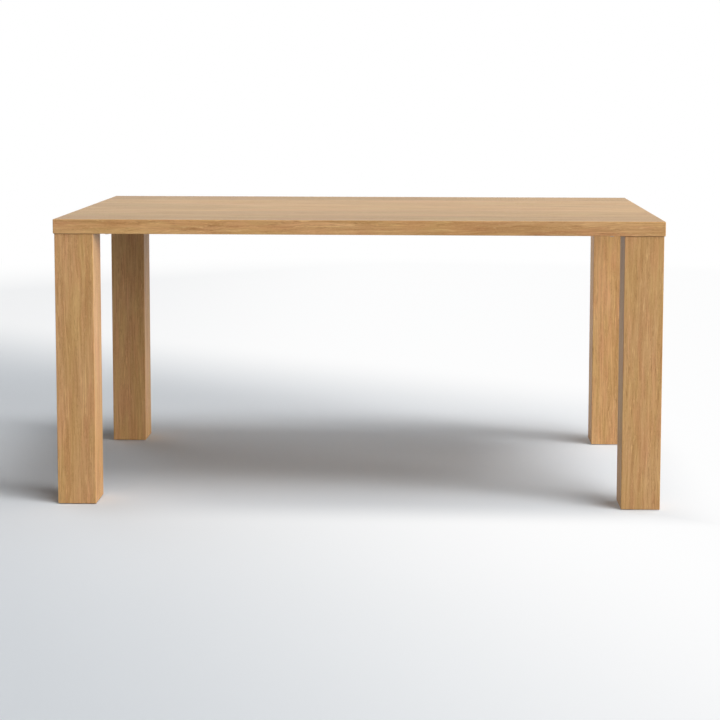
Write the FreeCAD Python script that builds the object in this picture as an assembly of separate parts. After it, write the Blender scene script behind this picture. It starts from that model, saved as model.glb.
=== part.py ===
import FreeCAD, Part
import math
import os

# Parsons dining table: a hollow framed top of oak veneer on four square hollow legs.
# Millimetres. +Z is up and the origin is on the floor, under the middle of the top.
# X runs along the table's length, Y across it, and -Y is the front.

# ---------------------------------------------------------------- overall sizes
TABLE_LENGTH = 1600.0
TABLE_WIDTH = 900.0
TABLE_HEIGHT = 762.0
TOP_THICKNESS = 38.0
LEG_SIZE = 102.0
TOP_OVERHANG = 3.0  # from each leg's outer faces to the top's edge
FOOT_GAP = 2.0  # from the floor to the bottom of each leg, with the levellers screwed in

# ---------------------------------------------------------------- the top's layers
VENEER = 0.6
SKIN = 5.4
LIPPING = 3.0  # solid edge strips
TOP_EASE = 1.5  # radius along the top's upper and lower arrises
TOP_CORNER = 2.0  # radius of the top's four upright corners
RAIL_WIDTH = 45.0  # perimeter frame inside the top
RIB_THICKNESS = 12.0
CROSS_RIB_COUNT = 5
LONG_RIB_COUNT = 2

# ---------------------------------------------------------------- legs
LEG_BOARD = 15.0  # thickness of the four mitred boards
LEG_ARRIS = 1.5  # radius along each leg's upright arrises
LEG_FOOT_CHAMFER = 1.0
TOP_BLOCK_HEIGHT = 60.0
FOOT_BLOCK_HEIGHT = 40.0

# ---------------------------------------------------------------- corner plates
PLATE_THICKNESS = VENEER + SKIN  # fills the pocket, so that it lies flush with the underside
PLATE_FLANGE = 54.0  # from the leg's inner faces to the plate's edge
PLATE_CORNER = 6.0
POCKET_CLEARANCE = 1.0
SCREW_INSET = 16.0  # from the sides of the leg's top block to the screws
BOLT_INSET = 11.0  # from the perimeter rail to the nearest bolt
BOLT_ROW_COUNT = 3  # bolts along each arm of the flange, the corner one shared

# ---------------------------------------------------------------- fasteners
BOLT_DIAMETER = 8.0
BOLT_LENGTH = 25.0
BOLT_HEAD_DIAMETER = 14.0
BOLT_HEAD_HEIGHT = 4.4
BOLT_HEAD_RIM = 1.0  # upright rim under the head's dome
BOLT_HEAD_FLAT = 7.5  # diameter of the flat on top of the dome
BOLT_SOCKET = 5.0  # across the flats
BOLT_SOCKET_DEPTH = 2.6
BOLT_TIP_CHAMFER = 1.0
WASHER_DIAMETER = 16.0
WASHER_THICKNESS = 1.6
WASHER_PLAY = 0.2
INSERT_DIAMETER = 12.0
INSERT_LENGTH = 18.0
SCREW_DIAMETER = 6.0
SCREW_LENGTH = 50.0
SCREW_HEAD_DIAMETER = 12.0
SCREW_TIP_LENGTH = 8.0
SCREW_RECESS_WIDTH = 1.2
SCREW_RECESS_SPAN = 5.6
SCREW_RECESS_DEPTH = 1.8

# ---------------------------------------------------------------- levellers
PAD_DIAMETER = 30.0
PAD_HEIGHT = 8.0
PAD_FLOOR = 2.5  # nylon under the stem's head
PAD_EASE = 1.2
PAD_KEY_HOLE = 6.0  # diameter of the way in for the hex key
PAD_RECESS_CLEARANCE = 1.5
STEM_DIAMETER = 8.0
STEM_LENGTH = 40.0  # above its head
STEM_HEAD_DIAMETER = 16.0
STEM_HEAD_THICKNESS = 3.0
STEM_SOCKET = 5.0
STEM_SOCKET_DEPTH = 4.5
STEM_TIP_CHAMFER = 1.0
STEM_NECK_PLAY = 0.5  # round the stem where it leaves the pad
FOOT_INSERT_DIAMETER = 12.0
FOOT_INSERT_LENGTH = 18.0
FOOT_INSERT_FLANGE_DIAMETER = 18.0
FOOT_INSERT_FLANGE = 1.5

# ---------------------------------------------------------------- fits
RUNNING_FIT = 0.05  # radial, between a thread and its nut and round the stem's head
HOLE_FIT = 0.05  # radial, round what is driven or screwed into timber
BOLT_HOLE_PLAY = 0.5  # radial, where a bolt passes through steel
COUNTERSINK_PLAY = 0.1

# ---------------------------------------------------------------- levels and places
UNDERSIDE = TABLE_HEIGHT - TOP_THICKNESS
CORE_BOTTOM = UNDERSIDE + VENEER + SKIN
CORE_TOP = TABLE_HEIGHT - VENEER - SKIN
PANEL_LENGTH = TABLE_LENGTH - 2 * LIPPING
PANEL_WIDTH = TABLE_WIDTH - 2 * LIPPING
BAY_LENGTH = PANEL_LENGTH - 2 * RAIL_WIDTH
BAY_WIDTH = PANEL_WIDTH - 2 * RAIL_WIDTH
LEG_OUTER_X = TABLE_LENGTH / 2 - TOP_OVERHANG
LEG_OUTER_Y = TABLE_WIDTH / 2 - TOP_OVERHANG
BLOCK_SIZE = LEG_SIZE - 2 * LEG_BOARD
PLATE_INSET = LEG_BOARD + POCKET_CLEARANCE
PLATE_SIZE = LEG_SIZE - PLATE_INSET + PLATE_FLANGE
RAIL_INNER = LIPPING + RAIL_WIDTH - TOP_OVERHANG
BOLT_RING = LEG_SIZE + PLATE_FLANGE / 2
FIRST_BOLT = RAIL_INNER + BOLT_INSET
BOLT_PITCH = (BOLT_RING - FIRST_BOLT) / (BOLT_ROW_COUNT - 1)
HEAD_BOTTOM = PAD_FLOOR
HEAD_TOP = PAD_FLOOR + STEM_HEAD_THICKNESS
RECESS_TOP = PAD_HEIGHT + FOOT_INSERT_FLANGE

CORNERS = {
    "front_left": (-1, -1),
    "front_right": (1, -1),
    "back_left": (-1, 1),
    "back_right": (1, 1),
}


# ---------------------------------------------------------------- shapes
def box_between(x0, x1, y0, y1, z0, z1):
    """A box from its two opposite corners, given in any order along each axis."""
    low = FreeCAD.Vector(min(x0, x1), min(y0, y1), min(z0, z1))
    return Part.makeBox(abs(x1 - x0), abs(y1 - y0), abs(z1 - z0), low)


def centred_box(length, width, z0, z1):
    return box_between(-length / 2, length / 2, -width / 2, width / 2, z0, z1)


def cylinder(x, y, z0, z1, diameter):
    return Part.makeCylinder(diameter / 2, z1 - z0, FreeCAD.Vector(x, y, z0))


def prism(points, z0, z1):
    """A straight prism on a closed outline of (x, y) points."""
    corners = [FreeCAD.Vector(x, y, z0) for x, y in points]
    outline = Part.makePolygon(corners + corners[:1])
    return Part.Face(outline).extrude(FreeCAD.Vector(0, 0, z1 - z0))


def hexagon(across_flats, x, y, z0, z1):
    reach = across_flats / math.sqrt(3)
    angles = [math.radians(60 * side) for side in range(6)]
    return prism([(x + reach * math.cos(a), y + reach * math.sin(a)) for a in angles], z0, z1)


def upright_edges(solid):
    """The straight vertical edges of a prism."""
    found = []
    for edge in solid.Edges:
        ends = [vertex.Point for vertex in edge.Vertexes]
        if len(ends) == 2 and math.hypot(ends[0].x - ends[1].x, ends[0].y - ends[1].y) < 1e-6:
            found.append(edge)
    return found


def level_edges(solid, z):
    """The edges that lie at height z."""
    box = [(edge, edge.BoundBox) for edge in solid.Edges]
    return [edge for edge, b in box if abs(b.ZMin - z) < 1e-6 and abs(b.ZMax - z) < 1e-6]


def rounded_square(x0, x1, y0, y1, z0, z1, radius):
    block = box_between(x0, x1, y0, y1, z0, z1)
    return block.makeFillet(radius, upright_edges(block))


def turned(points, x, y):
    """A solid turned about a vertical axis from a half section of (radius, z) points."""
    section = [FreeCAD.Vector(x + r, y, z) for r, z in points]
    face = Part.Face(Part.makePolygon(section + section[:1]))
    return face.revolve(FreeCAD.Vector(x, y, 0), FreeCAD.Vector(0, 0, 1), 360)


def mitred_sides(outer, length, width, thickness, z0, z1):
    """Cuts a hollow frame from a centred outer solid and mitres it into its four sides."""
    x, y = length / 2, width / 2
    u, v = x - thickness, y - thickness
    outlines = {
        "front": [(-x, -y), (x, -y), (u, -v), (-u, -v)],
        "back": [(-x, y), (x, y), (u, v), (-u, v)],
        "left": [(-x, -y), (-x, y), (-u, v), (-u, -v)],
        "right": [(x, -y), (x, y), (u, v), (u, -v)],
    }
    return {side: outer.common(prism(points, z0, z1)) for side, points in outlines.items()}


def at_corner(corner, u, v):
    """The place that lies u and v inwards from the outer faces of one corner's leg."""
    sign_x, sign_y = CORNERS[corner]
    return sign_x * (LEG_OUTER_X - u), sign_y * (LEG_OUTER_Y - v)


def corner_box(corner, low, high, z0, z1):
    """A square block from low to high inwards from one corner's leg faces."""
    x0, y0 = at_corner(corner, low, low)
    x1, y1 = at_corner(corner, high, high)
    return box_between(x0, x1, y0, y1, z0, z1)


def corner_pocket(corner, clearance, z0, z1):
    """The corner plate's outline, grown by a clearance."""
    x0, y0 = at_corner(corner, PLATE_INSET - clearance, PLATE_INSET - clearance)
    far = PLATE_INSET + PLATE_SIZE + clearance
    x1, y1 = at_corner(corner, far, far)
    return rounded_square(x0, x1, y0, y1, z0, z1, PLATE_CORNER + clearance)


def leg_centre(corner):
    return at_corner(corner, LEG_SIZE / 2, LEG_SIZE / 2)


def bolt_places(corner):
    """An L of bolts along the plate's two free arms, with one shared at their corner."""
    steps = [FIRST_BOLT + BOLT_PITCH * step for step in range(BOLT_ROW_COUNT)]
    places = [at_corner(corner, BOLT_RING, v) for v in steps]
    return places + [at_corner(corner, u, BOLT_RING) for u in steps[:-1]]


def screw_places(corner):
    """The four screws that hold the plate down on the leg's top block."""
    near = LEG_BOARD + SCREW_INSET
    far = LEG_SIZE - LEG_BOARD - SCREW_INSET
    return [at_corner(corner, u, v) for u in (near, far) for v in (near, far)]


# ---------------------------------------------------------------- the top
def lippings():
    outer = centred_box(TABLE_LENGTH, TABLE_WIDTH, UNDERSIDE, TABLE_HEIGHT)
    outer = outer.makeFillet(TOP_CORNER, upright_edges(outer))
    arrises = level_edges(outer, UNDERSIDE) + level_edges(outer, TABLE_HEIGHT)
    outer = outer.makeFillet(TOP_EASE, arrises)
    return mitred_sides(outer, TABLE_LENGTH, TABLE_WIDTH, LIPPING, UNDERSIDE, TABLE_HEIGHT)


def panel(z0, z1):
    return centred_box(PANEL_LENGTH, PANEL_WIDTH, z0, z1)


def pocketed_panel(z0, z1):
    """A full sheet with a window for each corner plate."""
    sheet = panel(z0, z1)
    for corner in CORNERS:
        sheet = sheet.cut(corner_pocket(corner, POCKET_CLEARANCE, z0, z1))
    return sheet


def long_rail(side):
    """Front and back rails run the panel's whole length."""
    edge = side * PANEL_WIDTH / 2
    inner = edge - side * RAIL_WIDTH
    return box_between(-PANEL_LENGTH / 2, PANEL_LENGTH / 2, edge, inner, CORE_BOTTOM, CORE_TOP)


def end_rail(side):
    """Left and right rails fit between the long rails."""
    edge = side * PANEL_LENGTH / 2
    inner = edge - side * RAIL_WIDTH
    return box_between(edge, inner, -BAY_WIDTH / 2, BAY_WIDTH / 2, CORE_BOTTOM, CORE_TOP)


def rib_places(count, bay):
    return [bay * ((step + 1) / (count + 1) - 0.5) for step in range(count)]


def ribs():
    """Cross and long ribs, half-lapped into each other where they meet."""
    middle = (CORE_BOTTOM + CORE_TOP) / 2
    half = RIB_THICKNESS / 2
    cross_at = rib_places(CROSS_RIB_COUNT, BAY_LENGTH)
    long_at = rib_places(LONG_RIB_COUNT, BAY_WIDTH)
    cross, long = [], []
    for x in cross_at:
        rib = box_between(x - half, x + half, -BAY_WIDTH / 2, BAY_WIDTH / 2, CORE_BOTTOM, CORE_TOP)
        for y in long_at:
            rib = rib.cut(box_between(x - half, x + half, y - half, y + half, middle, CORE_TOP))
        cross.append(rib)
    for y in long_at:
        rib = box_between(-BAY_LENGTH / 2, BAY_LENGTH / 2, y - half, y + half, CORE_BOTTOM, CORE_TOP)
        for x in cross_at:
            rib = rib.cut(box_between(x - half, x + half, y - half, y + half, CORE_BOTTOM, middle))
        long.append(rib)
    return cross, long


def corner_block(corner):
    """Hardwood between the rails and the plate's inner edges, drilled for the inserts."""
    block = corner_box(corner, RAIL_INNER, PLATE_INSET + PLATE_SIZE, CORE_BOTTOM, CORE_TOP)
    for x, y in bolt_places(corner):
        hole = INSERT_DIAMETER + 2 * HOLE_FIT
        block = block.cut(cylinder(x, y, CORE_BOTTOM, CORE_BOTTOM + INSERT_LENGTH, hole))
    return block


# ---------------------------------------------------------------- legs
def leg_boards(corner):
    outer = centred_box(LEG_SIZE, LEG_SIZE, FOOT_GAP, UNDERSIDE)
    outer = outer.makeFillet(LEG_ARRIS, upright_edges(outer))
    outer = outer.makeChamfer(LEG_FOOT_CHAMFER, level_edges(outer, FOOT_GAP))
    boards = mitred_sides(outer, LEG_SIZE, LEG_SIZE, LEG_BOARD, FOOT_GAP, UNDERSIDE)
    x, y = leg_centre(corner)
    for board in boards.values():
        board.translate(FreeCAD.Vector(x, y, 0))
    return boards


def leg_top_block(corner):
    bottom = UNDERSIDE - TOP_BLOCK_HEIGHT
    block = corner_box(corner, LEG_BOARD, LEG_BOARD + BLOCK_SIZE, bottom, UNDERSIDE)
    for x, y in screw_places(corner):
        tip = CORE_BOTTOM - SCREW_LENGTH
        block = block.cut(cylinder(x, y, tip, UNDERSIDE, SCREW_DIAMETER + 2 * HOLE_FIT))
    return block


def leg_foot_block(corner):
    """Hardwood plug with a recess for the pad and a bore for the threaded insert."""
    top = FOOT_GAP + FOOT_BLOCK_HEIGHT
    block = corner_box(corner, LEG_BOARD, LEG_BOARD + BLOCK_SIZE, FOOT_GAP, top)
    x, y = leg_centre(corner)
    recess = PAD_DIAMETER + 2 * PAD_RECESS_CLEARANCE
    block = block.cut(cylinder(x, y, FOOT_GAP, RECESS_TOP, recess))
    return block.cut(cylinder(x, y, RECESS_TOP, top, FOOT_INSERT_DIAMETER + 2 * HOLE_FIT))


# ---------------------------------------------------------------- corner plates and fasteners
def corner_plate(corner):
    plate = corner_pocket(corner, 0, UNDERSIDE, UNDERSIDE + PLATE_THICKNESS)
    for x, y in bolt_places(corner):
        hole = BOLT_DIAMETER + 2 * BOLT_HOLE_PLAY
        plate = plate.cut(cylinder(x, y, UNDERSIDE, CORE_BOTTOM, hole))
    shank = SCREW_DIAMETER / 2 + COUNTERSINK_PLAY
    head = SCREW_HEAD_DIAMETER / 2 + COUNTERSINK_PLAY
    for x, y in screw_places(corner):
        sink = [
            (0, UNDERSIDE),
            (shank, UNDERSIDE),
            (shank, CORE_BOTTOM - (head - shank)),
            (head, CORE_BOTTOM),
            (0, CORE_BOTTOM),
        ]
        plate = plate.cut(turned(sink, x, y))
    return plate


def plate_bolt(x, y):
    """A button-head bolt pointing up, its head below the washer."""
    seat = UNDERSIDE - WASHER_THICKNESS
    bottom = seat - BOLT_HEAD_HEIGHT
    tip = seat + BOLT_LENGTH
    radius = BOLT_DIAMETER / 2
    head = BOLT_HEAD_DIAMETER / 2
    flat = BOLT_HEAD_FLAT / 2
    rim = seat - BOLT_HEAD_RIM
    # the dome is an arc that leaves the rim and ends on the flat, level with it
    dome_height = rim - bottom
    dome_radius = ((head - flat) ** 2 + dome_height**2) / (2 * dome_height)
    turn = math.asin((head - flat) / dome_radius) / 2
    centre_z = bottom + dome_radius
    half_way = (flat + dome_radius * math.sin(turn), centre_z - dome_radius * math.cos(turn))

    def point(r, z):
        return FreeCAD.Vector(x + r, y, z)

    start = [point(0, bottom), point(flat, bottom)]
    rest = [
        point(head, rim),
        point(head, seat),
        point(radius, seat),
        point(radius, tip - BOLT_TIP_CHAMFER),
        point(radius - BOLT_TIP_CHAMFER, tip),
        point(0, tip),
        point(0, bottom),
    ]
    dome = Part.Arc(start[1], point(*half_way), rest[0]).toShape()
    outline = Part.Wire([Part.makePolygon(start), dome, Part.makePolygon(rest)])
    bolt = Part.Face(outline).revolve(point(0, 0), FreeCAD.Vector(0, 0, 1), 360)
    return bolt.cut(hexagon(BOLT_SOCKET, x, y, bottom, bottom + BOLT_SOCKET_DEPTH))


def bolt_washer(x, y):
    seat = UNDERSIDE - WASHER_THICKNESS
    hole = BOLT_DIAMETER + 2 * WASHER_PLAY
    return cylinder(x, y, seat, UNDERSIDE, WASHER_DIAMETER).cut(cylinder(x, y, seat, UNDERSIDE, hole))


def bolt_insert(x, y):
    top = CORE_BOTTOM + INSERT_LENGTH
    body = cylinder(x, y, CORE_BOTTOM, top, INSERT_DIAMETER)
    return body.cut(cylinder(x, y, CORE_BOTTOM, top, BOLT_DIAMETER + 2 * RUNNING_FIT))


def plate_screw(x, y):
    """A countersunk wood screw pointing down, its head flush with the plate's upper face."""
    shank = SCREW_DIAMETER / 2
    head = SCREW_HEAD_DIAMETER / 2
    tip = CORE_BOTTOM - SCREW_LENGTH
    section = [
        (0, CORE_BOTTOM),
        (head, CORE_BOTTOM),
        (shank, CORE_BOTTOM - (head - shank)),
        (shank, tip + SCREW_TIP_LENGTH),
        (0, tip),
    ]
    screw = turned(section, x, y)
    half_width = SCREW_RECESS_WIDTH / 2
    half_span = SCREW_RECESS_SPAN / 2
    floor = CORE_BOTTOM - SCREW_RECESS_DEPTH
    for along, across in ((half_span, half_width), (half_width, half_span)):
        slot = box_between(x - along, x + along, y - across, y + across, floor, CORE_BOTTOM)
        screw = screw.cut(slot)
    return screw


# ---------------------------------------------------------------- levellers
def leveller_insert(corner):
    """A flanged threaded insert, its flange in the roof of the pad's recess."""
    x, y = leg_centre(corner)
    flange = cylinder(x, y, PAD_HEIGHT, RECESS_TOP, FOOT_INSERT_FLANGE_DIAMETER)
    top = RECESS_TOP + FOOT_INSERT_LENGTH
    body = cylinder(x, y, RECESS_TOP, top, FOOT_INSERT_DIAMETER)
    return flange.fuse(body).cut(cylinder(x, y, PAD_HEIGHT, top, STEM_DIAMETER + 2 * RUNNING_FIT))


def leveller_stem(corner):
    """A threaded stem on a disc head, with a socket for a hex key underneath."""
    x, y = leg_centre(corner)
    head = STEM_HEAD_DIAMETER / 2
    radius = STEM_DIAMETER / 2
    tip = HEAD_TOP + STEM_LENGTH
    section = [
        (0, HEAD_BOTTOM),
        (head, HEAD_BOTTOM),
        (head, HEAD_TOP),
        (radius, HEAD_TOP),
        (radius, tip - STEM_TIP_CHAMFER),
        (radius - STEM_TIP_CHAMFER, tip),
        (0, tip),
    ]
    stem = turned(section, x, y)
    return stem.cut(hexagon(STEM_SOCKET, x, y, HEAD_BOTTOM, HEAD_BOTTOM + STEM_SOCKET_DEPTH))


def leveller_pad(corner):
    """A nylon pad snapped over the stem's head, which turns in its groove."""
    x, y = leg_centre(corner)
    rim = PAD_DIAMETER / 2
    groove = STEM_HEAD_DIAMETER / 2 + RUNNING_FIT
    neck = STEM_DIAMETER / 2 + STEM_NECK_PLAY
    key = PAD_KEY_HOLE / 2
    section = [
        (key, 0),
        (rim - PAD_EASE, 0),
        (rim, PAD_EASE),
        (rim, PAD_HEIGHT - PAD_EASE),
        (rim - PAD_EASE, PAD_HEIGHT),
        (neck, PAD_HEIGHT),
        (neck, HEAD_TOP + RUNNING_FIT),
        (groove, HEAD_TOP + RUNNING_FIT),
        (groove, HEAD_BOTTOM),
        (key, HEAD_BOTTOM),
    ]
    return turned(section, x, y)


# ---------------------------------------------------------------- all the pieces
def all_corners(make, places):
    """The same fastener at every place of every corner."""
    return Part.makeCompound([make(x, y) for corner in CORNERS for x, y in places(corner)])


def build():
    cross, long = ribs()
    nodes = {
        "top_face_veneer": panel(TABLE_HEIGHT - VENEER, TABLE_HEIGHT),
        "top_upper_skin": panel(CORE_TOP, TABLE_HEIGHT - VENEER),
        "top_lower_skin": pocketed_panel(UNDERSIDE + VENEER, CORE_BOTTOM),
        "top_underside_veneer": pocketed_panel(UNDERSIDE, UNDERSIDE + VENEER),
        "top_front_rail": long_rail(-1),
        "top_back_rail": long_rail(1),
        "top_left_rail": end_rail(-1),
        "top_right_rail": end_rail(1),
        "top_cross_ribs": Part.makeCompound(cross),
        "top_long_ribs": Part.makeCompound(long),
        "plate_bolts": all_corners(plate_bolt, bolt_places),
        "plate_bolt_washers": all_corners(bolt_washer, bolt_places),
        "plate_bolt_inserts": all_corners(bolt_insert, bolt_places),
        "plate_screws": all_corners(plate_screw, screw_places),
        "leveller_inserts": Part.makeCompound([leveller_insert(corner) for corner in CORNERS]),
    }
    for side, strip in lippings().items():
        nodes[f"top_{side}_lipping"] = strip
    for corner in CORNERS:
        nodes[f"{corner}_corner_block"] = corner_block(corner)
        nodes[f"{corner}_corner_plate"] = corner_plate(corner)
        nodes[f"{corner}_leg_top_block"] = leg_top_block(corner)
        nodes[f"{corner}_leg_foot_block"] = leg_foot_block(corner)
        nodes[f"{corner}_leveller_stem"] = leveller_stem(corner)
        nodes[f"{corner}_leveller_pad"] = leveller_pad(corner)
        for side, board in leg_boards(corner).items():
            nodes[f"{corner}_leg_{side}_board"] = board
    return nodes


os.makedirs("parts", exist_ok=True)
for name, shape in sorted(build().items()):
    shape.exportStep(f"parts/{name}.step")
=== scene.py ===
import math

import bmesh
import bpy
from mathutils import Matrix, Vector


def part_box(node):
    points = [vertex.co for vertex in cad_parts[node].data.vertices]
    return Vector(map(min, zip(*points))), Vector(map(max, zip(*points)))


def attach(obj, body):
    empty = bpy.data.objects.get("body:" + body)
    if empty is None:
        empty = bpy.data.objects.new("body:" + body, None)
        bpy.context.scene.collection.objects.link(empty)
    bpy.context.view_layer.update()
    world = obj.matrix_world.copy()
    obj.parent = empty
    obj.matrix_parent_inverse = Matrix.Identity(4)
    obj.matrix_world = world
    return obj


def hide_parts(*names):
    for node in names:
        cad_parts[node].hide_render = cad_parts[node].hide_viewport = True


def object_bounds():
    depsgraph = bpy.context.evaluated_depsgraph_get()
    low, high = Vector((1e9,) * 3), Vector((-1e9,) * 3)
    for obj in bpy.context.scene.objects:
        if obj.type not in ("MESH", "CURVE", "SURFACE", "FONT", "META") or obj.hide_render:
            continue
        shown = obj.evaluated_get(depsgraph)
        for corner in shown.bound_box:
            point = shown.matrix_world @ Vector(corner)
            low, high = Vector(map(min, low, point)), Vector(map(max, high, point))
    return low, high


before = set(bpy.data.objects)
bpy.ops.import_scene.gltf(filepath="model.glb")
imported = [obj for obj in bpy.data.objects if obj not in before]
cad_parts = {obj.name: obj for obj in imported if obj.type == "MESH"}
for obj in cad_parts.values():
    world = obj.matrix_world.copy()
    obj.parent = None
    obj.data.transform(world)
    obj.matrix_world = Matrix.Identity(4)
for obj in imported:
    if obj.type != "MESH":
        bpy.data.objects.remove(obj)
CAD_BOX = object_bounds()

# ---------------------------------------------------------------- sizes, from the frame
HIGH = CAD_BOX[1]
HALF_LENGTH = HIGH.x
HALF_WIDTH = HIGH.y
CORNERS = ("front_left", "front_right", "back_left", "back_right")


def leg_boards(corner):
    """The nodes of one leg's four boards."""
    return [f"{corner}_leg_{side}_board" for side in ("front", "back", "left", "right")]


def leg_box(corner):
    """Lowest and highest corner of one leg's four boards."""
    boxes = [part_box(node) for node in leg_boards(corner)]
    low = Vector([min(box[0][axis] for box in boxes) for axis in range(3)])
    high = Vector([max(box[1][axis] for box in boxes) for axis in range(3)])
    return low, high


LEG_LOW, LEG_HIGH = leg_box("back_right")
LEG_CENTRE = (LEG_LOW + LEG_HIGH) / 2
LEG_HALF = (LEG_HIGH.x - LEG_LOW.x) / 2
LEG_HEAD = LEG_HIGH.z


def new_object(name, data):
    """An object with that mesh, lamp or camera, in the scene."""
    made = bpy.data.objects.new(name, data)
    bpy.context.collection.objects.link(made)
    return made


# ---------------------------------------------------------------- a small language for shader nodes
NOISE_SPAN = (0.3, 0.7)  # where most of a noise's values lie


class Shader:
    """Builds the node tree of a material or a world, in which output sockets stand for values."""

    def __init__(self, owner, output):
        owner.use_nodes = True
        self.tree = owner.node_tree
        self.tree.nodes.clear()
        self.output = self.tree.nodes.new(output)

    def node(self, kind, inputs=None, **settings):
        """A new node, with its inputs by name or number: each is a value or another node's output."""
        made = self.tree.nodes.new(kind)
        for key, value in settings.items():
            setattr(made, key, value)
        for key, value in (inputs or {}).items():
            self.feed(made.inputs[key], value)
        return made

    def feed(self, socket, value):
        if isinstance(value, bpy.types.NodeSocket):
            self.tree.links.new(value, socket)
        elif isinstance(value, tuple) and len(value) == 3 and socket.type == "RGBA":
            socket.default_value = (*value, 1)
        else:
            socket.default_value = value

    def math(self, operation, a, b=0.0, c=0.0):
        return self.node("ShaderNodeMath", {0: a, 1: b, 2: c}, operation=operation).outputs[0]

    def vary(self, value, by, base):
        """base, plus by times the value."""
        return self.math("MULTIPLY_ADD", value, by, base)

    def separate(self, vector):
        return self.node("ShaderNodeSeparateXYZ", {0: vector}).outputs

    def combine(self, x, y, z):
        return self.node("ShaderNodeCombineXYZ", {0: x, 1: y, 2: z}).outputs[0]

    def noise(self, vector, scale=1.0, detail=2.0, roughness=0.5):
        inputs = {"Vector": vector, "Scale": scale, "Detail": detail, "Roughness": roughness}
        return self.node("ShaderNodeTexNoise", inputs, noise_dimensions="3D").outputs["Fac"]

    def step(self, value, low, high, out_low=0.0, out_high=1.0, smooth=True):
        """Maps low..high to out_low..out_high, clamped."""
        inputs = {0: value, 1: low, 2: high, 3: out_low, 4: out_high}
        kind = "SMOOTHSTEP" if smooth else "LINEAR"
        made = self.node("ShaderNodeMapRange", inputs, interpolation_type=kind, clamp=True)
        return made.outputs[0]

    def mix(self, factor, a, b, blend="MIX"):
        """Mixes two colours. The node's inputs 6 and 7 and its output 2 are the ones for colours."""
        inputs = {0: factor, 6: a, 7: b}
        return self.node("ShaderNodeMix", inputs, data_type="RGBA", blend_type=blend).outputs[2]

    def ramp(self, factor, stops):
        made = self.node("ShaderNodeValToRGB", {0: factor})
        elements = made.color_ramp.elements
        while len(elements) < len(stops):
            elements.new(0.5)
        for element, (position, colour) in zip(elements, stops):
            element.position = position
            element.color = (*colour, 1)
        return made.outputs[0]

    def shade(self, noise, dark, pale):
        """Runs from one colour to the other over most of a noise's values."""
        low, high = NOISE_SPAN
        return self.ramp(noise, [(low, dark), (high, pale)])

    def bump(self, height, distance, strength):
        inputs = {"Height": height, "Distance": distance, "Strength": strength}
        return self.node("ShaderNodeBump", inputs).outputs[0]

    def background_ray(self):
        """1 for rays that see the white background: the camera's own, and mirrored or refracted ones."""
        path = self.node("ShaderNodeLightPath").outputs
        indirect = self.math("MAXIMUM", path["Is Glossy Ray"], path["Is Transmission Ray"])
        return self.math("MAXIMUM", path["Is Camera Ray"], indirect)

    def end(self, shader):
        """Links the finished shader node to the tree's output."""
        self.tree.links.new(shader.outputs[0], self.output.inputs[0])


class Surface(Shader):
    """The tree of a new material, whose patterns lie in the object's own coordinates."""

    def __init__(self, name):
        self.material = bpy.data.materials.new(name)
        super().__init__(self.material, "ShaderNodeOutputMaterial")
        self.place = self.node("ShaderNodeTexCoord").outputs["Object"]

    def principled(self, **inputs):
        """Ends the tree with a Principled shader. Inputs are named with _ for spaces."""
        named = {key.replace("_", " "): value for key, value in inputs.items()}
        self.end(self.node("ShaderNodeBsdfPrincipled", named))
        return self.material


def linear(red, green, blue):
    """A colour written as 0 to 255 on screen, as the linear light that shaders use."""
    def channel(value):
        value /= 255
        return value / 12.92 if value <= 0.04045 else ((value + 0.055) / 1.055) ** 2.4
    return tuple(channel(value) for value in (red, green, blue))


def grain_axes(s, along):
    """Splits the place into along the grain, across it and the third way, in metres."""
    x, y, z = s.separate(s.place)
    return {"x": (x, y, z), "y": (y, x, z), "z": (z, x, y)}[along]


def drawn_out(s, axes, lengths):
    """Coordinates in which a noise cell has those lengths, in metres, along the three axes."""
    return s.combine(*(s.math("DIVIDE", axis, length) for axis, length in zip(axes, lengths)))


# ---------------------------------------------------------------- oak
OAK_DARK = linear(167, 121, 75)
OAK_MID = linear(189, 145, 96)
OAK_LIGHT = linear(206, 163, 114)
OAK_VESSEL = linear(142, 98, 57)
OAK_PORE = linear(104, 70, 40)
OAK_FLECK = linear(221, 184, 137)
OAK_STREAK = linear(219, 177, 123)
OAK_THREAD = linear(226, 190, 132)
# the arrises' rubbed tone, paler also as a painted highlight of the light that they catch
OAK_WORN_HIGHLIGHT = linear(208, 160, 101)
# painted shade: the dark line under the top's overhang, round each leg's head
OAK_SHADE_LINE = linear(92, 62, 38)
OAK_STRAW = (0.97, 1.01, 0.86)  # tints that the patches multiply the wood's colour by
OAK_BLUSH = (1.02, 0.90, 0.96)

# features of the grain: width and length in metres, the noise's detail, and how much it varies
# along a growth ring
GRAIN = {
    "bands": (0.030, 0.90, 2.0, 0.3),
    "lines": (0.0050, 0.13, 3.0, 0.25),
    "rift": (0.0021, 0.11, 2.0, 0.5),
    "vessels": (0.0021, 0.032, 2.0, 0.6),
    "pale_streaks": (0.0022, 0.042, 2.0, 0.6),
    "threads": (0.0019, 0.28, 2.0, 0.4),
    "flecks": (0.0013, 0.018, 1.0, 1.0),
    "fibres": (0.0006, 0.030, 2.0, 1.0),
    "pores": (0.0005, 0.0065, 1.0, 1.0),
}
FIGURE = (("bands", 0.29), ("lines", 0.33), ("rift", 0.28), ("fibres", 0.10))  # each one's share
FIGURE_REACH = 0.20  # of the figure's noise, from the middle colour to the dark or the light one
# marks on the figure: the noise at which each starts to show and shows fully, its strength and colour
MARKS = {
    "pale_streaks": (0.57, 0.72, 0.50, OAK_STREAK),
    "vessels": (0.56, 0.74, 0.46, OAK_VESSEL),
    "threads": (0.65, 0.74, 0.55, OAK_THREAD),
    "pores": (0.58, 0.68, 0.45, OAK_PORE),
    "flecks": (0.63, 0.78, 0.36, OAK_FLECK),
}
VESSELS_CROWD = 0.60  # share of the vessels, and of the pores, that only the early wood has
PORES_CROWD = 0.75
EARLY_WOOD = (0.60, 0.42)  # the lines' noise outside the early wood, and in it
LIVELY = (0.38, 0.62, 0.35, 1.25)  # noise from calm to lively, and how strong the marks are in each

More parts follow.
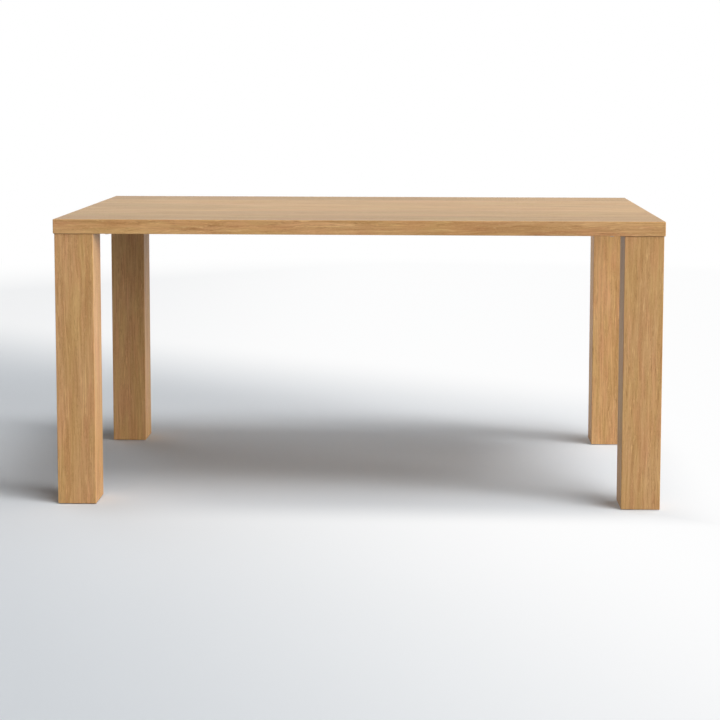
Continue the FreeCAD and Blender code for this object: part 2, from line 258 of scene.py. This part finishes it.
# noise cells per metre, along the grain and across it
WANDER_CELLS = (2.2, 12.0)
RIPPLE_CELLS = (14.0, 45.0)
LIVELY_CELLS = (5.0, 30.0)
DRIFT_CELLS = (1.2, 4.0)
STRAW_CELLS = (0.16, 1.0)  # per patch width instead of per metre
BLUSH_CELLS = (0.30, 2.0)
STRAW_NOISE = (0.35, 0.65)  # from none to the full tint
BLUSH_NOISE = (0.40, 0.66)
DRIFT_NOISE = (0.3, 0.7)
DRIFT_SHARE = 0.6  # of the spread, for the tone that drifts along a leaf

RING_WANDER = 0.022  # metres that the rings stray over a long way, and over a short one
RING_RIPPLE = 0.0024
RING_SLANT = (0.8, 0.6)  # the rings' direction across a face and into it
LEAF_SHIFT = (7.0, 3.0)  # metres along and across the grain, at most, between one leaf and another

LACQUER_ROUGHNESS = 0.56
LACQUER_IOR = 1.48
LINE_ROUGHNESS = -0.10
PORE_ROUGHNESS = 0.12
WORN_ROUGHNESS = -0.10
# how strongly the rubbed tone and painted highlight show on the arrises
WEAR_AND_HIGHLIGHT_STRENGTH = 0.22
# how dark the painted shade line is
SHADE_LINE_STRENGTH = 0.65
GRAIN_RELIEF = 0.00010
FIBRE_RELIEF = 0.35  # of a pore's depth

ARRIS = 0.0004  # how far in from an arris its rubbed tone and painted highlight are at their palest
LEG_EDGE_REACH = 0.0040  # how far in the rubbed tone and painted highlight end, on the legs and on the top
TOP_EDGE_REACH = 0.0030
SHADE_LINE_FROM = 0.0022  # painted shade line, below the top's underside
SHADE_LINE_FULL = 0.0008


def in_cells(s, axes, cells, unit=1.0):
    """Coordinates with so many noise cells per unit of length, along the grain and across it."""
    along, across = (number / unit for number in cells)
    scaled = zip(axes, (along, across, across))
    return s.combine(*(s.math("MULTIPLY", axis, number) for axis, number in scaled))


def centred_noise(s, axes, cells, detail=2.0):
    """Noise that varies about 0 instead of 0.5."""
    return s.math("SUBTRACT", s.noise(in_cells(s, axes, cells), detail=detail), 0.5)


def cut_leaves(s, axes, seed, leaf):
    """Shifts the grain of each veneer leaf, and gives it a number from 0 to 1 that sets its tone."""
    run, side, inward = axes
    run = s.math("ADD", run, seed)
    if leaf is None:
        return (run, side, inward), 0.5
    number = s.math("FLOOR", s.math("DIVIDE", side, leaf))
    chance = s.node("ShaderNodeTexWhiteNoise", {"W": s.math("ADD", number, seed)}, noise_dimensions="1D")
    leaf_tone = chance.outputs["Value"]
    run = s.vary(leaf_tone, by=LEAF_SHIFT[0], base=run)
    side = s.vary(leaf_tone, by=LEAF_SHIFT[1], base=side)
    return (run, side, inward), leaf_tone


def draw_grain(s, axes, wave):
    """The noise of each feature in GRAIN, drawn out along the grain.

    The growth rings meet every face at a slant, and wander slowly along the grain.
    """
    run, side, inward = axes
    across, into = RING_SLANT
    wander = centred_noise(s, axes, WANDER_CELLS, detail=3.0)
    ripple = centred_noise(s, axes, RIPPLE_CELLS)
    across_rings = s.math("ADD", s.math("MULTIPLY", side, across), s.math("MULTIPLY", inward, into))
    across_rings = s.vary(wander, by=RING_WANDER * wave, base=across_rings)
    across_rings = s.vary(ripple, by=RING_RIPPLE * wave, base=across_rings)
    along_rings = s.math("SUBTRACT", s.math("MULTIPLY", inward, across), s.math("MULTIPLY", side, into))
    grain = {}
    for feature, (width, length, detail, slant) in GRAIN.items():
        where = s.combine(
            s.math("DIVIDE", run, length),
            s.math("DIVIDE", across_rings, width),
            s.math("MULTIPLY", along_rings, slant / width),
        )
        grain[feature] = s.noise(where, detail=detail)
    return grain


def colour_grain(s, axes, grain, depth):
    """The wood's colour before tints, and where its pores are."""
    figure = 0.0
    for feature, share in FIGURE:
        figure = s.vary(grain[feature], by=share, base=figure)
    reach = FIGURE_REACH / depth
    base = s.ramp(figure, [(0.5 - reach, OAK_DARK), (0.5, OAK_MID), (0.5 + reach, OAK_LIGHT)])

    # vessels and pores crowd in the early wood, where the lines run darker
    early = s.step(grain["lines"], *EARLY_WOOD)
    lively = s.step(s.noise(in_cells(s, axes, LIVELY_CELLS)), *LIVELY)
    weights = {
        "pale_streaks": (lively,),
        "vessels": (s.vary(early, by=VESSELS_CROWD, base=1 - VESSELS_CROWD), lively),
        "pores": (s.vary(early, by=PORES_CROWD, base=1 - PORES_CROWD),),
    }
    drawn = {}
    for mark, (low, high, strength, colour) in MARKS.items():
        amount = s.step(grain[mark], low, high)
        for weight in weights.get(mark, ()):
            amount = s.math("MULTIPLY", amount, weight)
        drawn[mark] = amount
        if mark != "pores":  # which are as dark in every board
            strength *= depth
        base = s.mix(s.math("MULTIPLY", amount, strength), base, colour)
    return base, drawn["pores"]


def tint_patches(s, axes, base, patch, variety):
    """Patches that lean to yellow or to pink."""
    straw = s.step(s.noise(in_cells(s, axes, STRAW_CELLS, patch), detail=1.0), *STRAW_NOISE)
    blush = s.step(s.noise(in_cells(s, axes, BLUSH_CELLS, patch)), *BLUSH_NOISE)
    for amount, colour in ((straw, OAK_STRAW), (blush, OAK_BLUSH)):
        base = s.mix(s.math("MULTIPLY", amount, variety), base, colour, blend="MULTIPLY")
    return base


def set_tone(s, axes, base, leaf_tone, tone, tint, spread):
    """Each leaf's own tone, which drifts slowly along it."""
    drift = s.noise(in_cells(s, axes, DRIFT_CELLS), detail=1.0)
    drift = s.step(drift, *DRIFT_NOISE, out_low=-0.5, out_high=0.5, smooth=False)
    level = s.vary(s.math("SUBTRACT", leaf_tone, 0.5), by=spread, base=tone)
    level = s.vary(drift, by=DRIFT_SHARE * spread, base=level)
    channels = s.combine(*(s.math("MULTIPLY", level, part) for part in tint))
    return s.mix(1.0, base, channels, blend="MULTIPLY")


def oak(name, along, seed, leaf=None, tone=1.0, tint=(1.0, 1.0, 1.0), wave=1.0, depth=1.0,
        patch=0.035, variety=0.6, spread=0.16, gloss=0.4, edge=None, joint=None):
    """Rift-cut oak: fine straight lines, vessel dashes, pores and pale ray flecks, drawn along the grain.

    leaf is the width of a veneer leaf; every leaf has its own shift and tone. tone and tint multiply the
    wood's colour. wave is how far the lines wander, and depth how strongly they show. patch is the width
    of the yellow and pink patches in metres, and variety how strong they are. spread is how much the tone
    differs between leaves and along them. gloss is the lacquer's specular level. edge says where arrises
    are rubbed and carry a painted highlight, and joint where painted shade darkens the wood in a fine
    line.
    """
    s = Surface(name)
    axes, leaf_tone = cut_leaves(s, grain_axes(s, along), seed, leaf)
    grain = draw_grain(s, axes, wave)
    base, pore = colour_grain(s, axes, grain, depth)
    base = tint_patches(s, axes, base, patch, variety)
    base = set_tone(s, axes, base, leaf_tone, tone, tint, spread)

    roughness = s.vary(grain["lines"], by=LINE_ROUGHNESS, base=LACQUER_ROUGHNESS)
    roughness = s.vary(pore, by=PORE_ROUGHNESS, base=roughness)
    relief = s.math("SUBTRACT", s.math("MULTIPLY", grain["fibres"], FIBRE_RELIEF), pore)
    if edge is not None:
        # rubbed wear on the arrises, and a painted highlight of the light that they catch
        wear_and_highlight = edge(s)
        base = s.mix(s.math("MULTIPLY", wear_and_highlight, WEAR_AND_HIGHLIGHT_STRENGTH), base, OAK_WORN_HIGHLIGHT)
        roughness = s.vary(wear_and_highlight, by=WORN_ROUGHNESS, base=roughness)
    # painted shade in a fine dark line round the leg's head, under the top
    if joint is not None:
        base = s.mix(s.math("MULTIPLY", joint(s), SHADE_LINE_STRENGTH), base, OAK_SHADE_LINE)
    return s.principled(
        Base_Color=base,
        Roughness=roughness,
        Normal=s.bump(relief, distance=GRAIN_RELIEF, strength=0.6),
        IOR=LACQUER_IOR,
        Specular_IOR_Level=gloss,
    )


def leg_edge(s):
    """1 on a leg's four upright arrises, falling to 0 a few millimetres in from them."""
    x, y, _ = s.separate(s.place)
    from_x = s.math("ABSOLUTE", s.math("SUBTRACT", s.math("ABSOLUTE", x), LEG_CENTRE.x))
    from_y = s.math("ABSOLUTE", s.math("SUBTRACT", s.math("ABSOLUTE", y), LEG_CENTRE.y))
    nearer = s.math("MINIMUM", from_x, from_y)
    return s.step(nearer, LEG_HALF - LEG_EDGE_REACH, LEG_HALF - ARRIS)


def top_edge(s):
    """1 on the outer arrises of the top's faces, falling to 0 a few millimetres in from them."""
    x, y, z = s.separate(s.place)
    from_rim = s.math(
        "MINIMUM",
        s.math("SUBTRACT", HALF_LENGTH, s.math("ABSOLUTE", x)),
        s.math("SUBTRACT", HALF_WIDTH, s.math("ABSOLUTE", y)),
    )
    middle = (LEG_HEAD + HIGH.z) / 2
    half = (HIGH.z - LEG_HEAD) / 2
    from_middle = s.math("ABSOLUTE", s.math("SUBTRACT", z, middle))
    near_rim = s.step(from_rim, TOP_EDGE_REACH, ARRIS)
    near_face = s.step(from_middle, half - TOP_EDGE_REACH, half - ARRIS)
    return s.math("MULTIPLY", near_rim, near_face)


def leg_head_shade(s):
    """1 in the painted shade line round the head of a leg, just under the top that overhangs it."""
    z = s.separate(s.place)[2]
    return s.step(z, LEG_HEAD - SHADE_LINE_FROM, LEG_HEAD - SHADE_LINE_FULL)


def paint(material, *nodes):
    """Gives each of the nodes that one material."""
    for node in nodes:
        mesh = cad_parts[node].data
        mesh.materials.clear()
        mesh.materials.append(material)


LEAF_WIDTH = 0.149
# each leg's tone, set brighter or darker by how light falls on it: painted light and shade
LEG_LIGHT_TONES = {"front_left": 1.12, "front_right": 1.06, "back_left": 1.13, "back_right": 1.19}
LEG_SEED = 1.7
LEG_SEED_STEP = 5.3  # from one leg to the next, so that no two have the same grain
LIPPING = {"wave": 1.8, "depth": 1.35, "edge": top_edge}

# the top veneer's green and blue tint is partly a painted sheen, standing in for the lacquer's pale
# grazing reflection
top_oak = oak(
    "oak_top_veneer", "x", seed=3.1, leaf=LEAF_WIDTH, tone=0.865, tint=(0.98, 1.055, 1.065), depth=1.3,
    patch=0.11, variety=0.55, spread=0.30, gloss=0.75,
)
under_oak = oak("oak_underside_veneer", "x", seed=17.7, leaf=LEAF_WIDTH, tone=0.95, depth=0.9)
lengthwise = oak("oak_lipping_lengthwise", "x", seed=8.4, tone=1.09, **LIPPING)
crosswise = oak("oak_lipping_crosswise", "y", seed=12.9, tone=1.02, **LIPPING)
paint(top_oak, "top_face_veneer")
paint(under_oak, "top_underside_veneer")
paint(lengthwise, "top_front_lipping", "top_back_lipping")
paint(crosswise, "top_left_lipping", "top_right_lipping")
for number, corner in enumerate(CORNERS):
    leg_oak = oak(
        f"oak_{corner}_leg", "z", seed=LEG_SEED + LEG_SEED_STEP * number, tone=LEG_LIGHT_TONES[corner],
        depth=1.25, gloss=0.35, edge=leg_edge, joint=leg_head_shade,
    )
    paint(leg_oak, *leg_boards(corner))


# ---------------------------------------------------------------- timber inside, board and hardware
POPLAR_DARK = linear(176, 160, 118)
POPLAR_PALE = linear(208, 196, 156)
POPLAR_LINE = (0.14, 0.005, 0.008)  # metres along the grain, across it and the third way
POPLAR_FIBRE = (0.01, 0.0006, 0.0006)
BOARD_DARK = linear(128, 98, 66)
BOARD_PALE = linear(170, 138, 100)
COAT_BLACK = linear(34, 34, 35)
COAT_WORN = linear(52, 52, 53)
ZINC_DARK = linear(168, 170, 172)
ZINC_PALE = linear(204, 206, 206)
NYLON_BLACK = linear(36, 36, 37)
NYLON_SCUFFED = linear(66, 65, 64)
STRONGER_SHARE = 0.7  # of a figure that two noises make
PAD_EASE = 0.0004
PLATE_EASE = 0.0006


def two_noises(s, stronger, weaker):
    """The figure that a stronger and a weaker noise make together."""
    return s.vary(weaker, by=1 - STRONGER_SHARE, base=s.math("MULTIPLY", stronger, STRONGER_SHARE))


def plain_timber(name, along, seed):
    """Planed poplar with plain, even grain."""
    s = Surface(name)
    run, side, inward = grain_axes(s, along)
    moved = s.math("ADD", run, seed)
    lines = s.noise(drawn_out(s, (moved, side, inward), POPLAR_LINE), detail=4.0, roughness=0.6)
    fine = s.noise(drawn_out(s, (run, side, inward), POPLAR_FIBRE))
    return s.principled(
        Base_Color=s.shade(two_noises(s, lines, fine), POPLAR_DARK, POPLAR_PALE),
        Roughness=s.vary(lines, by=0.15, base=0.62),
        Normal=s.bump(fine, distance=0.0001, strength=0.5),
    )


def fibreboard(name):
    """Pressed fibre, speckled and rough."""
    s = Surface(name)
    fibre = s.noise(s.place, scale=900.0, detail=4.0, roughness=0.7)
    cloud = s.noise(s.place, scale=30.0, detail=3.0)
    return s.principled(
        Base_Color=s.shade(two_noises(s, fibre, cloud), BOARD_DARK, BOARD_PALE),
        Roughness=0.85,
        Normal=s.bump(fibre, distance=0.0001, strength=0.6),
    )


def powder_coat(name):
    """Black powder coat with its fine orange peel."""
    s = Surface(name)
    peel = s.noise(s.place, scale=1400.0)
    wear = s.noise(s.place, scale=60.0, detail=4.0, roughness=0.65)
    return s.principled(
        Base_Color=s.mix(s.step(wear, 0.55, 0.75, out_high=0.5), COAT_BLACK, COAT_WORN),
        Roughness=s.vary(wear, by=0.2, base=0.42),
        Normal=s.bump(peel, distance=0.00012, strength=0.7),
    )


def zinc_plate(name):
    """Bright zinc on steel, slightly mottled and finely grained."""
    s = Surface(name)
    mottle = s.noise(s.place, scale=260.0, detail=4.0, roughness=0.6)
    fine = s.noise(s.place, scale=3000.0, detail=1.0)
    return s.principled(
        Base_Color=s.shade(mottle, ZINC_DARK, ZINC_PALE),
        Metallic=1.0,
        Roughness=s.vary(mottle, by=0.22, base=0.24),
        Normal=s.bump(fine, distance=0.00003, strength=0.5),
    )


def moulded_nylon(name):
    """Black moulded nylon with a fine spark-eroded texture, scuffed a little."""
    s = Surface(name)
    texture = s.noise(s.place, scale=2600.0)
    scuff = s.noise(s.place, scale=240.0, detail=4.0, roughness=0.7)
    return s.principled(
        Base_Color=s.mix(s.step(scuff, 0.52, 0.72, out_high=0.6), NYLON_BLACK, NYLON_SCUFFED),
        Roughness=s.vary(scuff, by=0.2, base=0.42),
        Normal=s.bump(texture, distance=0.00008, strength=0.6),
    )


def ease(node, width):
    """Rounds a moulded or coated piece's sharp edges a little, within its own size."""
    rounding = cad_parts[node].modifiers.new("eased", "BEVEL")
    rounding.width = width
    rounding.segments = 3
    rounding.limit_method = "ANGLE"
    rounding.angle_limit = math.radians(30)


timber_x = plain_timber("poplar_lengthwise", "x", seed=2.0)
timber_y = plain_timber("poplar_crosswise", "y", seed=6.0)
timber_z = plain_timber("poplar_upright", "z", seed=9.0)
board = fibreboard("fibreboard")
coat = powder_coat("black_powder_coat")
zinc = zinc_plate("zinc_plated_steel")
nylon = moulded_nylon("black_nylon")

paint(board, "top_upper_skin", "top_lower_skin")
paint(timber_x, "top_front_rail", "top_back_rail", "top_long_ribs")
paint(timber_y, "top_left_rail", "top_right_rail", "top_cross_ribs")
paint(zinc, "plate_bolts", "plate_bolt_washers", "plate_bolt_inserts", "plate_screws", "leveller_inserts")
for corner in CORNERS:
    paint(timber_x, f"{corner}_corner_block")
    paint(timber_z, f"{corner}_leg_top_block", f"{corner}_leg_foot_block")
    paint(coat, f"{corner}_corner_plate")
    paint(nylon, f"{corner}_leveller_pad")
    paint(zinc, f"{corner}_leveller_stem")
    ease(f"{corner}_leveller_pad", PAD_EASE)
    ease(f"{corner}_corner_plate", PLATE_EASE)


# ---------------------------------------------------------------- leveller stems with their threads cut
THREAD_PITCH = 0.00125
THREAD_DEPTH = 0.6134 * THREAD_PITCH  # of an ISO external thread
# corners of one turn's profile: how far up the pitch, and whether on the crest or on the core
THREAD_PROFILE = ((0.0, True), (0.125, True), (0.479, False), (0.646, False))
RING_POINTS = 48
TIP_CHAMFER = 0.0010
HEAD_THICKNESS = 0.0030
HEAD_EASE = 0.0004
NECK_HEIGHT = 0.0020  # plain, between the head and the first thread
SOCKET_WIDTH = 0.0050
SOCKET_DEPTH = 0.0045
SOCKET_CHAMFER = 0.0003
SOCKET_POINT = 0.0008  # drill point at the socket's end
MERGE = 1e-7  # metres between points that are one


def ring(mesh, z, radius=0.0, across_flats=None):
    """A ring of vertices: a circle, or a hexagon of that width across its flats."""
    made = []
    for point in range(RING_POINTS):
        angle = math.tau * point / RING_POINTS
        reach = radius
        if across_flats:
            off_flat = (angle + math.pi / 6) % (math.pi / 3) - math.pi / 6
            reach = across_flats / 2 / math.cos(off_flat)
        made.append(mesh.verts.new((reach * math.cos(angle), reach * math.sin(angle), z)))
    return made


def bridge(mesh, below, above):
    """Faces between two rings, outwards where the second is the higher one."""
    for point in range(RING_POINTS):
        after = (point + 1) % RING_POINTS
        mesh.faces.new((below[point], below[after], above[after], above[point]))


def cut_thread(mesh, bottom, top, radius):
    """A right-hand helical thread that runs out to its core at the bottom and is chamfered at the top."""
    core = radius - THREAD_DEPTH
    turns = math.ceil((top - bottom) / THREAD_PITCH) + 1
    columns = []
    for step in range(turns * RING_POINTS + 1):
        angle = math.tau * step / RING_POINTS
        column = []
        for share, on_crest in THREAD_PROFILE:
            z = bottom + THREAD_PITCH * (step / RING_POINTS - 1 + share)
            z = min(max(z, bottom), top)
            reach = min(
                radius if on_crest else core,
                core + (z - bottom),
                radius - TIP_CHAMFER + (top - z),
            )
            column.append(mesh.verts.new((reach * math.cos(angle), reach * math.sin(angle), z)))
        columns.append(column)
    last = len(THREAD_PROFILE) - 1
    for step in range(len(columns) - 1):
        here, beside = columns[step], columns[step + 1]
        for part in range(last):
            mesh.faces.new((here[part], beside[part], beside[part + 1], here[part + 1]))
        if step + 1 + RING_POINTS < len(columns):
            over_here, over_beside = columns[step + RING_POINTS], columns[step + 1 + RING_POINTS]
            mesh.faces.new((here[last], beside[last], over_beside[0], over_here[0]))


def threaded_stem(corner):
    """A leveller's stem: disc head with a hex socket underneath, plain neck, thread and chamfered tip."""
    node = f"{corner}_leveller_stem"
    low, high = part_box(node)
    centre = (low + high) / 2
    head = (high.x - low.x) / 2
    radius = head / 2  # the thread is half as wide as the head
    head_bottom, head_top = low.z, low.z + HEAD_THICKNESS
    core = radius - THREAD_DEPTH
    start = head_top + NECK_HEIGHT
    mesh = bmesh.new()
    socket_top = ring(mesh, head_bottom + SOCKET_DEPTH, across_flats=SOCKET_WIDTH)
    rings = [
        socket_top,
        ring(mesh, head_bottom + SOCKET_CHAMFER, across_flats=SOCKET_WIDTH),
        ring(mesh, head_bottom, across_flats=SOCKET_WIDTH + 2 * SOCKET_CHAMFER),
        ring(mesh, head_bottom, head - HEAD_EASE),
        ring(mesh, head_bottom + HEAD_EASE, head),
        ring(mesh, head_top - HEAD_EASE, head),
        ring(mesh, head_top, head - HEAD_EASE),
        ring(mesh, head_top, core + HEAD_EASE),
        ring(mesh, head_top + HEAD_EASE, core),
        ring(mesh, start, core),
    ]
    for below, above in zip(rings, rings[1:]):
        bridge(mesh, below, above)
    point = mesh.verts.new((0, 0, head_bottom + SOCKET_DEPTH + SOCKET_POINT))
    for number in range(RING_POINTS):
        after = (number + 1) % RING_POINTS
        mesh.faces.new((socket_top[after], socket_top[number], point))
    cut_thread(mesh, start, high.z, radius)
    bmesh.ops.remove_doubles(mesh, verts=mesh.verts, dist=MERGE)
    bmesh.ops.dissolve_degenerate(mesh, edges=mesh.edges, dist=MERGE)
    open_edges = [edge for edge in mesh.edges if edge.is_boundary]
    bmesh.ops.edgeloop_fill(mesh, edges=open_edges)
    bmesh.ops.recalc_face_normals(mesh, faces=mesh.faces)
    bmesh.ops.translate(mesh, verts=mesh.verts, vec=(centre.x, centre.y, 0))
    data = bpy.data.meshes.new(f"{corner}_threaded_stem")
    mesh.to_mesh(data)
    mesh.free()
    data.materials.append(zinc)
    stem = new_object(f"{corner}_threaded_stem", data)
    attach(stem, f"{corner}_stem")
    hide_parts(node)


for corner in CORNERS:
    threaded_stem(corner)


# ---------------------------------------------------------------- stage: floor, backdrop, lights, camera
FLOOR_HALF = 30.0
FLOOR_SEEN = (0.720, 0.752, 0.790)
FLOOR_BOUNCE = (0.50, 0.54, 0.60)  # what the floor's colour lights the table with
FLOOR_WHITENESS = 0.95  # of the floor near the table, where it shows white
CLOUD_SCALE = 1.1
CLOUD_NOISE = (0.2, 0.8)
CLOUD_RANGE = (0.99, 1.01)  # how far the floor's grey varies
WHITE = (1.0, 1.0, 1.0)

# where the floor's fades to white, which are painted light, begin and end, in metres from under the
# middle of the table
FADE_RIGHT = (0.62, 1.0)
FADE_BEHIND = (0.5, 1.9)
BEHIND_SLANT = 0.6  # metres that the fade behind comes forward, per metre to the right
FADE_BEFORE = (-0.38, -0.62)
FADE_BEFORE_ALONG = (-1.65, 0.40)  # the fade before the table grows from left to right
BEFORE_SLANT = 0.5
FADE_LEFT = (-1.35, -2.6)
FADE_NEAR = (-1.85, -3.0)
FADE_FAR = (1.8, 6.0)
# painted shade: the veil keeps the floor behind the table, to the left, a little greyer
VEIL = (-2.2, 0.0)  # to the left the floor behind stays a little greyer
VEIL_FADE = 0.75  # of the fade behind, at the veil's left end

FILL_COLOUR = (0.86, 0.94, 1.0)
FILL_STRENGTH = 0.04
LAMP_WHITE = (1.0, 0.998, 0.99)
KEY_COLOUR = (1.0, 0.99, 0.975)
BACK_COLOUR = (0.92, 0.96, 1.0)
SOFTBOX_SIZE = 1.5
SOFTBOX_AIM = Vector((0.0, 0.0, 0.7))

PHOTO_WIDTH_PX = 720
SENSOR_WIDTH = 36.0
CAMERA_FOCAL_PX = 1666
CAMERA_SHIFT = -0.18
CAMERA_PLACE = Vector((0.179, -4.771, 1.123))
CAMERA_TURN = (-2.27, -5.11, 0.06)  # to the right, up and clockwise, in degrees
CAMERA_REACH = 200.0


def floor_fade(s):
    """0 where the floor shows its grey and 1 where it is white.

    This is painted light and shade: the floor turns white sooner towards the light than away from it, and
    stays grey round the table's shadow. It is plain white far off, so that it has no horizon.
    """
    x, y, _ = s.separate(s.place)
    behind = s.math(
        "MULTIPLY",
        s.step(s.vary(x, by=BEHIND_SLANT, base=y), *FADE_BEHIND),
        s.step(x, *VEIL, out_low=VEIL_FADE),
    )
    before = s.math(
        "MULTIPLY",
        s.step(y, *FADE_BEFORE),
        s.step(s.vary(y, by=BEFORE_SLANT, base=x), *FADE_BEFORE_ALONG),
    )
    round_table = s.step(x, *FADE_RIGHT)
    for fade in (behind, before, s.step(x, *FADE_LEFT), s.step(y, *FADE_NEAR)):
        round_table = s.math("MAXIMUM", round_table, fade)
    distance = s.math("SQRT", s.math("MULTIPLY_ADD", x, x, s.math("MULTIPLY", y, y)))
    far = s.step(distance, *FADE_FAR)
    return s.math("MAXIMUM", far, s.math("MULTIPLY", round_table, FLOOR_WHITENESS))


def stage_floor():
    """A pale grey floor that fades to white round the table as painted light, and keeps the table's
    shadow.
    """
    mesh = bpy.data.meshes.new("floor")
    h = FLOOR_HALF
    mesh.from_pydata([(-h, -h, 0), (h, -h, 0), (h, h, 0), (-h, h, 0)], [], [(0, 1, 2, 3)])
    floor = new_object("floor", mesh)
    s = Surface("studio_floor")
    seen = s.background_ray()
    cloud = s.step(s.noise(s.place, scale=CLOUD_SCALE), *CLOUD_NOISE, *CLOUD_RANGE, smooth=False)
    pale = s.mix(1.0, FLOOR_SEEN, s.combine(cloud, cloud, cloud), blend="MULTIPLY")
    diffuse = s.node("ShaderNodeBsdfDiffuse", {"Color": s.mix(seen, FLOOR_BOUNCE, pale)}).outputs[0]
    white = s.node("ShaderNodeEmission", {"Color": WHITE, "Strength": 1.0}).outputs[0]
    whiteness = s.math("MULTIPLY", floor_fade(s), seen)
    s.end(s.node("ShaderNodeMixShader", {0: whiteness, 1: diffuse, 2: white}))
    mesh.materials.append(s.material)


def stage_world():
    """White behind everything, and a soft, even fill that lights the object less than it shows."""
    world = bpy.data.worlds.new("studio")
    bpy.context.scene.world = world
    s = Shader(world, "ShaderNodeOutputWorld")
    fill = s.node("ShaderNodeBackground", {"Color": FILL_COLOUR, "Strength": FILL_STRENGTH}).outputs[0]
    white = s.node("ShaderNodeBackground", {"Color": WHITE, "Strength": 1.0}).outputs[0]
    s.end(s.node("ShaderNodeMixShader", {0: s.background_ray(), 1: fill, 2: white}))


def lamp(name, kind, power, colour, towards, shine):
    """A new lamp that shines from the way towards points. shine says whether reflections show it."""
    light = bpy.data.lights.new(name, kind)
    light.energy = power
    light.color = colour
    made = new_object(name, light)
    made.rotation_euler = towards.to_track_quat("Z", "Y").to_euler()
    made.visible_glossy = shine
    return made


def broad_light(name, azimuth, elevation, spread, strength, colour=LAMP_WHITE, shine=True):
    """A soft light from far away, whose azimuth turns from the table's front towards its right end.

    azimuth, elevation and spread are in degrees.
    """
    turn, rise = math.radians(azimuth), math.radians(elevation)
    towards = Vector((math.sin(turn) * math.cos(rise), -math.cos(turn) * math.cos(rise), math.sin(rise)))
    made = lamp(name, "SUN", strength, colour, towards, shine)
    made.data.angle = math.radians(spread)


def softbox(name, place, power):
    """A square lamp near the table, which lights the end that it stands at more than the other."""
    made = lamp(name, "AREA", power, LAMP_WHITE, Vector(place) - SOFTBOX_AIM, shine=False)
    made.data.shape = "SQUARE"
    made.data.size = SOFTBOX_SIZE
    made.location = place
    made.visible_camera = False


def camera():
    """The camera at the photograph's viewing angle: a long lens, a little above the tabletop."""
    data = bpy.data.cameras.new("camera")
    data.sensor_width = SENSOR_WIDTH
    data.lens = CAMERA_FOCAL_PX * SENSOR_WIDTH / PHOTO_WIDTH_PX
    data.shift_y = CAMERA_SHIFT
    data.clip_end = CAMERA_REACH
    made = new_object("camera", data)
    yaw, pitch, roll = (math.radians(angle) for angle in CAMERA_TURN)
    forward = Vector((math.sin(yaw) * math.cos(pitch), math.cos(yaw) * math.cos(pitch), math.sin(pitch)))
    right = Vector((math.cos(yaw), -math.sin(yaw), 0))
    up = right.cross(forward)
    turned = Matrix.Rotation(-roll, 3, forward)
    axes = Matrix((turned @ right, turned @ up, -forward)).transposed()
    made.matrix_world = Matrix.Translation(CAMERA_PLACE) @ axes.to_4x4()
    bpy.context.scene.camera = made


stage_floor()
stage_world()
broad_light("key", azimuth=65, elevation=11, spread=24, strength=2.37, colour=KEY_COLOUR, shine=False)
broad_light("overhead", azimuth=52, elevation=64, spread=30, strength=1.51)
broad_light("front", azimuth=30, elevation=26, spread=40, strength=0.33)
broad_light("back", azimuth=222, elevation=8, spread=50, strength=1.5, colour=BACK_COLOUR, shine=False)
softbox("right_front", place=(2.1, -2.2, 1.8), power=14.0)
softbox("right_above", place=(1.9, 0.3, 3.0), power=21.7)
camera()

bpy.context.scene.view_settings.view_transform = "Standard"
